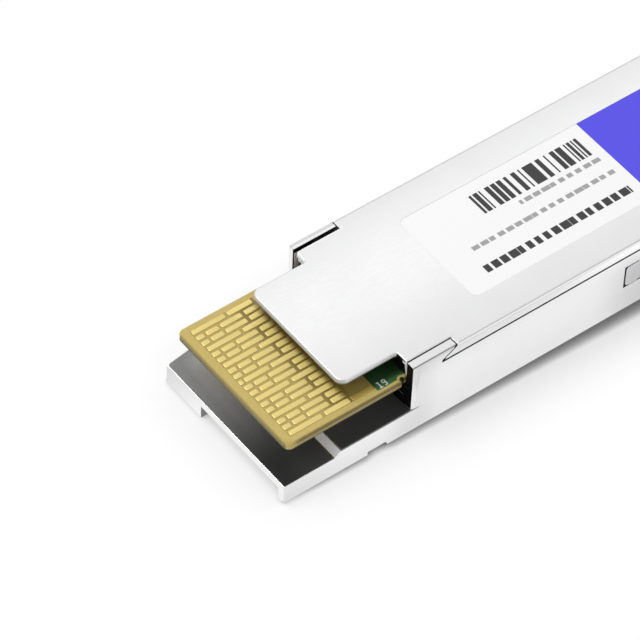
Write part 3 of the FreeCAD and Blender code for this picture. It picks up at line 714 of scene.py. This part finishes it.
class LOOPBACK_OT_shells(bpy.types.Operator):
    """Bright plating on both shells with painted shade inside, and the lower shell's sharp lower edges"""

    bl_idname = "loopback.shells"
    bl_label = "Shells"

    def execute(self, context):
        settings = context.scene.loopback_shells
        lower = self.nickel("lower_nickel", settings, self.lower_inner_shade, self.lower_cast_and_painted_light)
        dress(["lower_shell"], lower)
        self.lower_edge("near", -1, 0.0, lower)
        self.lower_edge("far", 1, FAR_TAPER, lower)
        upper = self.nickel("upper_nickel", settings, self.upper_inner_shade, self.upper_cast_and_painted_light)
        dress(["upper_shell"], upper)
        soften("lower_shell", SOFT_EDGE)
        soften("upper_shell", SOFT_EDGE)
        return {"FINISHED"}

    def lower_edge(self, place, side, taper, material):
        """Sharp lower edge: a section carried along x, cut off at the notch and sunk into the shell."""
        inset, height = np.array(EDGE_SECTION).T
        x = np.array(EDGE_RUNS)[:, :, None] + 0 * inset
        x[1, 0] += NOTCH_SLOPE * (NOTCH_TOP - height)
        size = np.array(EDGE_SIZE)[:, :, None]
        inset, height = [EDGE_HEART + size * (part - EDGE_HEART) for part in (inset, height)]
        reach = -NEAR_SIDE - taper * np.clip(1 - x / TAPER_END, 0, 1)
        points = np.stack([TIP + x * MM, side * (reach - inset) * MM, height * MM], axis=-1)
        faces = tube_faces(*x.shape, -side)
        new_piece("lower_edge_" + place, points, faces, material, "module")

    def nickel(self, name, settings, inner_shade_mask, cast_and_painted_light_masks):
        """Bright nickel with faint clouds and rubbed streaks, speckled where it is as cast; painted shade
        inside, a darker copy on level tops as painted shade, and cast tone at shares that paint light and
        shade.
        """
        finish = Finish(name)
        grain = finish.grain(6.0, 0.12)
        inner = inner_shade_mask(finish)
        cloud = finish.ramp(grain["Cloud"], 0.35, 0.65)
        speck = finish.uneven(finish.noise(finish.place["Place"], 7.0, 3.0, 0.7), 0.0, 1.0)
        # Level top faces take the darker copy of the plating: painted shade
        bright = [finish.tones(cloud, tone, 0.99, 1.01) for tone in (settings.nickel, settings.level)]
        surface = finish.blend(finish.beyond("Z", LID_TOP), *bright)
        masks = cast_and_painted_light_masks(finish)
        # Cast tone at each mask's share: the shares paint light and shade
        for mask, share in masks:
            tone = finish.tones(speck, settings.cast, 0.94 * share, 1.03 * share)
            surface = finish.blend(mask, surface, tone)
        cast = finish.either(*[mask for mask, share in masks])
        polish = finish.uneven(grain["Streak"], settings.polish - 0.03, settings.polish + 0.03)
        dull = finish.both(finish.either(inner, cast), 0.35)
        # The inner mask lays the near-black inside tone as painted shade
        finish.set(
            Base_Color=finish.blend(inner, surface, colour(settings.inside)),
            Metallic=finish.without(cast),
            Roughness=finish.math("ADD", polish, dull),
        )
        height = finish.math("ADD", finish.both(grain["Grain"], 0.08), finish.both(cast, speck))
        finish.bump(height, 0.5, 0.01)
        return finish.material

    def gaps(self, finish):
        """Mask of the narrow gaps at the hooks and along the parting line, which the inside tone darkens as
        painted shade.
        """
        run, rise = [finish.math("SUBTRACT", finish.place[axis], at) for axis, at in zip("XZ", HOOK_FOOT)]
        above = finish.math("SUBTRACT", rise, finish.both(run, HOOK_SLOPE))
        slant = finish.both(finish.ramp(above, -0.17, -0.14), finish.ramp(above, 0.05, 0.02))
        slant = finish.both(slant, finish.zone(X=(HOOK_START, HOOK_END), Z=(7.2, LID_TOP)))
        foot = finish.zone(X=(HOOK_START, 17.82), Z=(7.2, 7.8))
        seam = finish.zone(X=(HOOK_START, SHELL_END), Z=(7.18, 7.42, 0.01))
        cracks = finish.either(slant, foot, finish.both(seam, 0.87))
        return finish.both(cracks, finish.short_of("Side", 9.169, 0.004))

    def lower_inner_shade(self, finish):
        """Mask of painted shade on the tray's mouth, inner walls, far gap, channels, gaps and foot pocket,
        weaker on its ledges' edges.
        """
        mouth = finish.zone(X=(SHOULDER, 14.24, 0.01), Y=(-9.06, 8.3), Z=(2.95, 8.43))
        tray = finish.zone(X=(SHOULDER, SHELL_END), Side=(None, 8.24, 0.01), Z=(TRAY_FLOOR, 8.43))
        relief = finish.zone(X=(None, 17.2, 1.2), Y=(8.4, 8.5), Z=(7.9, 8.44, 0.04))
        crack = finish.zone(X=(None, 14.24), Y=FAR_TAB_FACE, Z=(5.6, 8.45))
        channel = finish.zone(X=(38.8, 89.0), Z=(3.16, 5.87), Side=(None, 9.12))
        pocket = finish.zone(X=(None, 4.98), Z=(None, 1.47), Y=(-8.35, 3.13))
        # The ledges' edges keep less of the painted shade, as painted highlights
        upper_ledge = finish.zone(Z=(5.3, 5.37, 0.01), Side=(8.2, 8.6))
        lower_ledge = finish.zone(Z=(3.9, 3.97, 0.01), Side=(7.1, 8.0))
        ledges = finish.both(finish.either(upper_ledge, lower_ledge), finish.short_of("X", 14.28), 0.45)
        shaded = finish.both(pocket, 0.75)
        dark = finish.either(mouth, tray, relief, crack, channel, shaded, self.gaps(finish))
        return finish.both(dark, finish.without(ledges))

    def upper_inner_shade(self, finish):
        """Mask of painted shade on the lid's inner faces, its front wall and the gaps beside the tabs, less
        the painted reflection at its corners.
        """
        lid = finish.zone(X=(14.3, SHELL_END), Side=(None, 7.95, 0.01), Z=(TRAY_FLOOR, 7.93))
        beside = finish.zone(X=(14.6, HOOK_END), Side=(7.97, 8.3, 0.01), Z=(None, 8.42))
        edge = finish.zone(X=(SHOULDER, 14.3), Side=(6.66, None), Z=(7.9, 8.2))
        dark = finish.either(lid, beside, edge, self.gaps(finish))
        return finish.both(dark, finish.without(self.corner_reflection(finish)))

    def corner_reflection(self, finish):
        """Mask of the corners of the lid's front wall painted bright as a painted reflection: the near one
        narrows downwards.
        """
        slant = finish.math("ADD", finish.place["Side"], finish.both(finish.place["Z"], WEDGE_SLOPE))
        near = finish.both(finish.zone(Y=(None, -7.4), Z=(6.4, 8.25)), finish.ramp(slant, 8.89, 8.95))
        far = finish.zone(Y=(6.8, None), Z=(7.3, 8.25))
        return finish.both(finish.zone(X=(14.05, 14.6)), finish.either(near, far))

    def lower_cast_and_painted_light(self, finish):
        """Masks of the tray's as-cast tone with their shares: ramp and far tab, the far tab's inner face
        painted lit, its outer strip darker as painted shade, and dark lines painted as shade along the near
        tab's top edge and the tongue's side edge.
        """
        ramp = finish.zone(X=(5.66, 6.27), Z=(2.2, 2.86), Side=(None, 9.1))
        # Far tab's inner face at full tone: painted light
        inner = finish.zone(X=(14.3, 15.6), Y=FAR_TAB_FACE, Z=(5.6, 7.9))
        tab = finish.zone(X=(SHOULDER, TAB_END), Z=(8.4, None), Y=(8.5, None))
        # Outer strip of the far tab darker: painted shade
        outer_tab = finish.both(tab, finish.beyond("Y", 8.72, 0.04))
        # Dark lines along the near tab's top edge and the tongue's side edge: painted shade
        edge = finish.zone(X=(SHOULDER, TAB_END), Z=(8.41, None), Y=(None, -9.0))
        rim = finish.zone(X=(6.3, 15.1), Z=(2.79, 2.9), Y=(None, -9.1))
        return [(ramp, 1.0), (inner, 1.0), (tab, 0.98), (outer_tab, 0.74), (edge, 0.31), (rim, 0.3)]

    def upper_cast_and_painted_light(self, finish):
        """Masks of the lid's as-cast tone with shares that paint light and shade: tongue edges lighter at
        the sides and darker at the foot, the corners as a painted reflection, dark lines along the top edges
        behind the tabs, and the skirt beside the tabs as painted highlights, fullest on the far side.
        """
        lip = finish.zone(X=(None, SHOULDER), Z=(None, LID_TOP))
        # Tongue's sides lighter and its foot darker: painted light and shade
        lip_side = finish.both(lip, finish.beyond("Side", 6.58))
        lip_foot = finish.both(lip, finish.short_of("Z", 8.1, 0.03))
        # Grey line along the lid's top edges behind the tabs: painted shade
        edge = finish.zone(X=(19.3, None), Z=(8.455, None, 0.015), Side=(8.91, None, 0.01))
        # Lid's faces beside the tabs lighter, fully on the far side: painted highlights
        beside = finish.zone(X=(14.8, 19.4), Side=(7.86, 8.3), Z=(8.36, None))
        far_beside = finish.both(beside, finish.beyond("Y", 0.0))
        front = [(lip, 0.7), (lip_side, 0.92), (lip_foot, 0.4), (self.corner_reflection(finish), 1.0)]
        return [*front, (edge, 0.66), (beside, 0.82), (far_beside, 1.0)]


class LOOPBACK_OT_board(bpy.types.Operator):
    """Laminate, coating and white number of the paddle board"""

    bl_idname = "loopback.board"
    bl_label = "Paddle Board"

    def execute(self, context):
        settings = context.scene.loopback_board
        finish = Finish("board_laminate")
        grain = finish.grain(2.0, 0.08)
        coated = self.coated(finish)
        surface = finish.blend(coated, self.bare(finish, grain, settings), self.coat(finish, settings))
        finish.set(
            Base_Color=finish.blend(self.number(finish), surface, colour(settings.ink)),
            Roughness=finish.uneven(grain["Cloud"], 0.32, 0.44),
            Specular_IOR_Level=0.4,
        )
        finish.bump(finish.math("ADD", finish.both(grain["Grain"], 0.3), coated), 0.3, 0.015)
        dress(["paddle_board"], finish.material)
        return {"FINISHED"}

    def bare(self, finish, grain, settings):
        """Woven laminate with painted shade between the pads towards the lid, on the front face, along the
        flanks with a darker band, below and at the notch.
        """
        weave = finish.noise(finish.stretch(finish.place["Place"], (4.0, 9.0, 2.0)), 1.0)
        weave = finish.ramp(finish.math("ADD", grain["Grain"], weave), 0.7, 1.3)
        tone = finish.tones(weave, settings.laminate, 0.92, 1.06)
        # Painted shade between the pads, deepening towards the lid and easing past its edge
        shade = finish.along("X", 5.5, 7.5, 0.25, 0.82)
        shade = finish.math("SUBTRACT", shade, finish.along("X", 8.4, 9.4, 0.0, 0.25))
        between = finish.both(finish.zone(X=(1.8, None, 0.05), Side=(None, 7.52, 0.05)), shade)
        # Painted shade on the front face, deeper at its lower part
        front = finish.both(finish.short_of("X", 1.06, 0.04), finish.along("Z", 5.85, 6.1, 0.85, 0.48))
        # Painted shade on the flanks, with a darker band across them
        shade_band = finish.math("ADD", 0.45, finish.both(finish.zone(Z=(5.92, 6.24, 0.08)), 0.5))
        flank = finish.zone(Z=(None, 6.3, 0.03), Side=(7.9, None), X=(1.9, None, 0.7))
        for mask in (between, front, finish.both(flank, shade_band)):
            tone = finish.blend(mask, tone, colour(settings.core))
        # Painted shade low on the board and at the notch
        low_shade = finish.either(finish.short_of("Z", 5.58, 0.05), finish.ring(BOARD_NOTCH, 0.0, 0.22))
        return finish.blend(low_shade, tone, colour(settings.core, 0.1))

    def coat(self, finish, settings):
        """Green coating over fine traces, with a darker copy painted as shade inboard where the lid shades
        it and on the underside.
        """
        open_side = finish.both(finish.along("Side", 6.8, 7.8), finish.beyond("Z", 5.4))
        traced = finish.tones(self.traces(finish), settings.solder_mask, 0.9, 1.3)
        return finish.blend(open_side, colour(settings.solder_mask, 0.4), traced)

    def coated(self, finish):
        """Mask of the coating: behind the contacts, less edges and plated notches, and the underside."""
        edge = finish.along("X", 13.6, 13.8, 7.86, 7.6)
        inboard = finish.math("LESS_THAN", finish.place["Side"], edge)
        plated = finish.ring(BOARD_NOTCH, 0.0, 0.45, 0.08)
        behind = finish.both(finish.beyond("X", 11.25, 0.05), inboard, finish.without(plated))
        return finish.either(behind, finish.zone(Z=(None, 5.36), X=(1.3, None)))

    def traces(self, finish):
        """Mask of copper traces under the coating: fine lines along x at half the contacts' pitch."""
        across = finish.math("PINGPONG", finish.place["Y"], PAD_PITCH / 4)
        return finish.both(finish.ramp(across, 0.12, 0.16), finish.short_of("X", 24.0, 2.0))

    def number(self, finish):
        """Mask of the white number 19: strokes and a ring."""
        marks = [finish.field(centre, half, 0.03) for centre, half in NUMBER_STROKES]
        marks.append(finish.ring(*NUMBER_RING))
        return finish.both(finish.either(*marks), finish.beyond("Z", 6.3))


class LOOPBACK_OT_contacts(bpy.types.Operator):
    """Plated contact pads with rounded edges on both faces of the paddle board"""

    bl_idname = "loopback.contacts"
    bl_label = "Contact Pads"

    def execute(self, context):
        settings = context.scene.loopback_board
        gold = self.gold(settings)
        top = self.pads(settings)
        under = top[..., ::-1, :] * (1, 1, -1) + (0, 0, BOARD_HIGH.z + BOARD_LOW.z)
        for name, points in (("upper_contact_pads", top), ("lower_contact_pads", under)):
            faces = tube_faces(*points.shape[:3])
            piece = new_piece(name + "_rounded", points, faces, gold, "module")
            smooth(piece, 50)
            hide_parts(name)
        return {"FINISHED"}

    def gold(self, settings):
        """Streaked plating; towards the lid matt with a brighter copy as painted light, then a darker copy
        as painted shade and a painted shadow under the lid's lip; the pads' feet darker as painted shade.
        """
        gold = Finish("contact_gold")
        grain = gold.grain(1.5, 0.06)
        streak = grain["Streak"]
        middle = 0.5 * (BOARD_LOW.z + BOARD_HIGH.z) / MM
        half = 0.5 * (BOARD_HIGH.z - BOARD_LOW.z) / MM
        off = gold.math("ABSOLUTE", gold.math("SUBTRACT", gold.place["Z"], middle))
        # Pads' feet darker: painted shade
        foot = gold.ramp(off, half + PAD_FOOT, half)
        matt = gold.along("X", 5.8, 7.4)
        under_lip = gold.both(gold.along("X", 7.9, 8.8), gold.short_of("Side", 6.9, 0.3))
        plating = gold.tones(streak, settings.gold, 0.92, 1.06)
        # Brighter matt copy towards the lid: painted light
        plating = gold.blend(matt, plating, gold.tones(streak, MATT_LIT_GOLD, 0.94, 1.05))
        plating = gold.blend(gold.along("X", 8.4, 9.0), plating, colour(SHADED_GOLD))
        # Painted shadow under the lid's lip
        plating = gold.blend(under_lip, plating, colour(LIP_SHADOW_GOLD))
        gold.set(
            Base_Color=gold.blend(foot, plating, colour(settings.gold, 0.5)),
            Metallic=gold.math("SUBTRACT", 0.7, gold.both(matt, 0.6)),
            Roughness=gold.uneven(streak, 0.28, 0.42),
        )
        gold.bump(streak, 0.25, 0.01)
        return gold.material

    def pads(self, settings):
        """Pads as stacks of rounded rectangles, smaller upwards: quarter circles about corner centres."""
        rows = dict.fromkeys(GROUND_COLUMNS, GROUND_ROWS) | {MIDDLE_COLUMN: MIDDLE_ROWS}
        boxes = [
            (start, end, (MIDDLE_COLUMN - column) * PAD_PITCH)
            for column in range(1, PAD_COLUMNS + 1)
            for start, end in rows.get(column, SIGNAL_ROWS)
        ]
        start, end, across = np.array(boxes).T[:, :, None, None]
        growth, height = np.array(PAD_LEVELS).T[:, None, :, None]
        corner = np.repeat(np.arange(4), 4)
        angle = (corner + np.tile(np.linspace(0, 1, 4), 4)) * math.pi / 2
        sign_x = np.array([1, -1, -1, 1])[corner]
        sign_y = np.array([1, 1, -1, -1])[corner]
        radius = PAD_CORNER + growth
        x = (start + end) / 2 + sign_x * ((end - start) / 2 - PAD_CORNER) + radius * np.cos(angle)
        y = across + sign_y * (settings.pad_width / 2 - PAD_CORNER) + radius * np.sin(angle)
        z = np.broadcast_to(height, x.shape)
        return np.stack([TIP + x * MM, y * MM, BOARD_HIGH.z + z * MM], axis=-1)


class LOOPBACK_OT_films(bpy.types.Operator):
    """Dark insulating films on the lower tongue"""

    bl_idname = "loopback.films"
    bl_label = "Insulating Films"

    def execute(self, context):
        finish = Finish("insulating_film")
        grain = finish.grain(3.0, 0.1)
        brushed = finish.noise(finish.stretch(finish.place["Place"], (0.6, 9.0, 1.0)), 1.0, 3.0, 0.6)
        # Painted light: the grey is raised towards the board's front edge, against the board's shadow
        under_board = finish.along("X", 0.8, 2.9, 0.0, 1.9)
        under_board = finish.both(under_board, finish.along("Y", 6.0, 8.2, 1.0, 0.1))
        # Painted reflection: the grey rises from the near side to the far side on both films
        front = finish.along("Y", -7.0, 6.0, 0.026, 0.274)
        front = finish.both(front, finish.math("ADD", under_board, 1.0))
        rear = finish.along("Y", -9.5, 4.0, 0.05, 0.59)
        sheen = finish.along("X", 6.2, 6.6, front, rear)
        grey = finish.both(sheen, finish.uneven(brushed, 0.96, 1.04))
        finish.set(
            Base_Color=finish.add("ShaderNodeCombineColor", {0: grey, 1: grey, 2: grey}).outputs[0],
            Roughness=finish.uneven(grain["Grain"], 0.5, 0.6),
            Specular_IOR_Level=0.1,
        )
        finish.bump(brushed, 0.1, 0.01)
        dress(["front_insulating_film", "rear_insulating_film"], finish.material)
        return {"FINISHED"}


class LOOPBACK_OT_label(bpy.types.Operator):
    """Paper label with a plain colour field, a row of bars and plain rules"""

    bl_idname = "loopback.label"
    bl_label = "Label"

    def execute(self, context):
        settings = context.scene.loopback_label
        finish = Finish("label_paper")
        grain = finish.grain(4.0, 0.05)
        surface = finish.tones(grain["Grain"], settings.paper, 0.985, 1.01)
        surface = finish.blend(self.bars(finish), surface, colour(settings.ink))
        for row, (place, half, tone) in enumerate(LABEL_RULES):
            surface = finish.blend(self.rule(finish, row, place, half), surface, colour([tone] * 3))
        tint = finish.tones(grain["Cloud"], settings.field, 0.985, 1.015)
        finish.set(
            Base_Color=finish.blend(finish.beyond("X", FIELD_START, 0.03), surface, tint),
            Roughness=finish.uneven(grain["Cloud"], 0.45, 0.55),
            Specular_IOR_Level=0.5,
        )
        finish.bump(grain["Grain"], 0.1, 0.01)
        dress(["label"], finish.material)
        return {"FINISHED"}

    def bars(self, finish):
        """Mask of a row of upright bars whose widths come from noise along x."""
        shares = []
        for width, odds in BAR_CELLS:
            cell = finish.math("FLOOR", finish.math("DIVIDE", finish.place["X"], width))
            shares.append(finish.math("LESS_THAN", finish.chance(cell), odds))
        return finish.both(finish.either(*shares), finish.field(*BARS_PLACE, soft=0.02))

    def rule(self, finish, row, place, half):
        """Mask of a broken rule: short dashes of uneven length in one row, one to each millimetre."""
        x0, x1, y = place
        shifted = finish.math("ADD", finish.place["X"], RULE_SHIFT * row)
        value = finish.chance(finish.math("FLOOR", shifted))
        reach = finish.math("ADD", DASH_LEAST, finish.both(value, DASH_SPREAD))
        dash = finish.math("LESS_THAN", finish.math("FRACT", shifted), reach)
        return finish.both(dash, finish.field(((x0 + x1) / 2, y), ((x1 - x0) / 2, half)))


class LOOPBACK_OT_release(bpy.types.Operator):
    """Release bracket, cover screws, and the pull tab with its grip ribs"""

    bl_idname = "loopback.release"
    bl_label = "Release"

    def execute(self, context):
        steel = Finish("release_steel")
        grain = steel.grain(4.0, 0.06)
        shades = colour((0.68, 0.68, 0.69)), colour((0.76, 0.76, 0.77))
        steel.set(
            Base_Color=steel.blend(grain["Streak"], *shades),
            Metallic=1.0,
            Roughness=steel.uneven(grain["Streak"], 0.22, 0.36),
        )
        dress(["release_bracket", "cover_screws"], steel.material)
        tab = Finish("pull_tab_rubber")
        grain = tab.grain(3.0, 0.1)
        shades = colour((0.03, 0.03, 0.032)), colour((0.045, 0.045, 0.048))
        tab.set(
            Base_Color=tab.blend(grain["Cloud"], *shades),
            Roughness=tab.uneven(grain["Grain"], 0.5, 0.62),
        )
        tab.bump(grain["Grain"], 0.3, 0.02)
        dress(["pull_tab"], tab.material)
        low, high = STRAP_LEVELS
        self.grip_ribs("upper", high, tab.material)
        self.grip_ribs("lower", low, tab.material)
        return {"FINISHED"}

    def grip_ribs(self, place, level, material):
        """Ribs across the strap: an ellipse carried along y that shrinks to nothing at both ends."""
        rows, columns = RIB_STEPS
        along = np.linspace(-1, 1, rows)[:, None]
        around = np.linspace(0, 2 * math.pi, columns, endpoint=False)
        size = np.sqrt(np.clip(1 - np.abs(along) ** 6, 1e-4, 1))
        centre = (RIB_START + RIB_PITCH * np.arange(RIB_COUNT))[:, None, None]
        x = centre + RIB_HALF[0] * size * np.cos(around)
        y = np.broadcast_to(RIB_REACH * along, x.shape)
        z = np.broadcast_to(level + RIB_HALF[1] * size * np.sin(around), x.shape)
        points = np.stack([TIP + x * MM, y * MM, z * MM], axis=-1)
        faces = tube_faces(*x.shape, -1)
        piece = new_piece("grip_ribs_" + place, points, faces, material, "release")
        smooth(piece, 60)


class LOOPBACK_OT_springs(bpy.types.Operator):
    """Round-wire return springs that the release bracket presses"""

    bl_idname = "loopback.springs"
    bl_label = "Return Springs"

    def execute(self, context):
        finish = Finish("spring_wire")
        grain = finish.grain(2.0, 0.05)
        finish.set(
            Base_Color=finish.tones(grain["Cloud"], (0.55, 0.55, 0.56), 0.88, 1.1),
            Metallic=1.0,
            Roughness=finish.uneven(grain["Grain"], 0.24, 0.36),
        )
        for name in ("return_spring_left", "return_spring_right"):
            low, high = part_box(name)
            points = self.coil(low, high)
            faces = tube_faces(1, *points.shape[:2])
            piece = new_piece(name + "_wire", points, faces, finish.material, "module")
            smooth(piece, 50)
            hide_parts(name)
            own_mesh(piece)
        return {"FINISHED"}

    def coil(self, low, high):
        """Round wire along a helix about x whose pitch closes up at both ends."""
        wire = SPRING_WIRE * MM / 2
        turn = np.linspace(0, 1, SPRING_STEPS * SPRING_TURNS + 1)
        reach = turn + SPRING_CLOSING * np.sin(4 * math.pi * (turn - 0.5)) / (4 * math.pi)
        angle = 2 * math.pi * SPRING_TURNS * turn
        middle = (low + high) / 2
        radius = (high.y - low.y) / 2 - wire
        x = low.x + wire + (high.x - low.x - 2 * wire) * reach
        radial = np.stack([0 * angle, np.cos(angle), np.sin(angle)], axis=1)
        centre = np.stack([x, 0 * x + middle.y, 0 * x + middle.z], axis=1) + radius * radial
        ahead = np.gradient(centre, axis=0)
        ahead /= np.linalg.norm(ahead, axis=1, keepdims=True)
        third = np.cross(ahead, radial)
        around = np.linspace(0, 2 * math.pi, WIRE_STEPS, endpoint=False)[None, :, None]
        return centre[:, None] + wire * (np.cos(around) * radial[:, None] + np.sin(around) * third[:, None])


class LOOPBACK_OT_inner_parts(bpy.types.Operator):
    """Gasket and the parts on the board"""

    bl_idname = "loopback.inner_parts"
    bl_label = "Inner Parts"

    def execute(self, context):
        for name, (nodes, tone, rough) in INNER_LOOKS.items():
            finish = Finish(name)
            grain = finish.grain(1.5, 0.08)
            finish.set(
                Base_Color=finish.tones(grain["Cloud"], tone, 0.9, 1.1),
                Roughness=finish.uneven(grain["Grain"], rough - 0.08, rough + 0.08),
            )
            dress(nodes, finish.material)
        return {"FINISHED"}


class LOOPBACK_PT_panel(bpy.types.Panel):
    """Lists the operators in the sidebar"""

    bl_idname = "LOOPBACK_PT_panel"
    bl_label = "Loopback Module"
    bl_space_type = "VIEW_3D"
    bl_region_type = "UI"
    bl_category = "Loopback"

    def draw(self, context):
        for operator in OPERATORS:
            self.layout.operator(operator.bl_idname)


OPERATORS = [
    LOOPBACK_OT_stage,
    LOOPBACK_OT_shells,
    LOOPBACK_OT_board,
    LOOPBACK_OT_contacts,
    LOOPBACK_OT_films,
    LOOPBACK_OT_label,
    LOOPBACK_OT_release,
    LOOPBACK_OT_springs,
    LOOPBACK_OT_inner_parts,
]
SETTINGS = {
    "loopback_shells": ShellFinish,
    "loopback_board": BoardFinish,
    "loopback_label": LabelPrint,
    "loopback_stage": StudioStage,
}


def register():
    for group in SETTINGS.values():
        bpy.utils.register_class(group)
    for name, group in SETTINGS.items():
        setattr(bpy.types.Scene, name, bpy.props.PointerProperty(type=group))
    for item in [*OPERATORS, LOOPBACK_PT_panel]:
        bpy.utils.register_class(item)


def unregister():
    for item in [LOOPBACK_PT_panel, *reversed(OPERATORS)]:
        bpy.utils.unregister_class(item)
    for name, group in SETTINGS.items():
        delattr(bpy.types.Scene, name)
        bpy.utils.unregister_class(group)


def main():
    register()
    for operator in OPERATORS:
        group, name = operator.bl_idname.split(".")
        getattr(getattr(bpy.ops, group), name)()


if __name__ == "__main__":
    main()
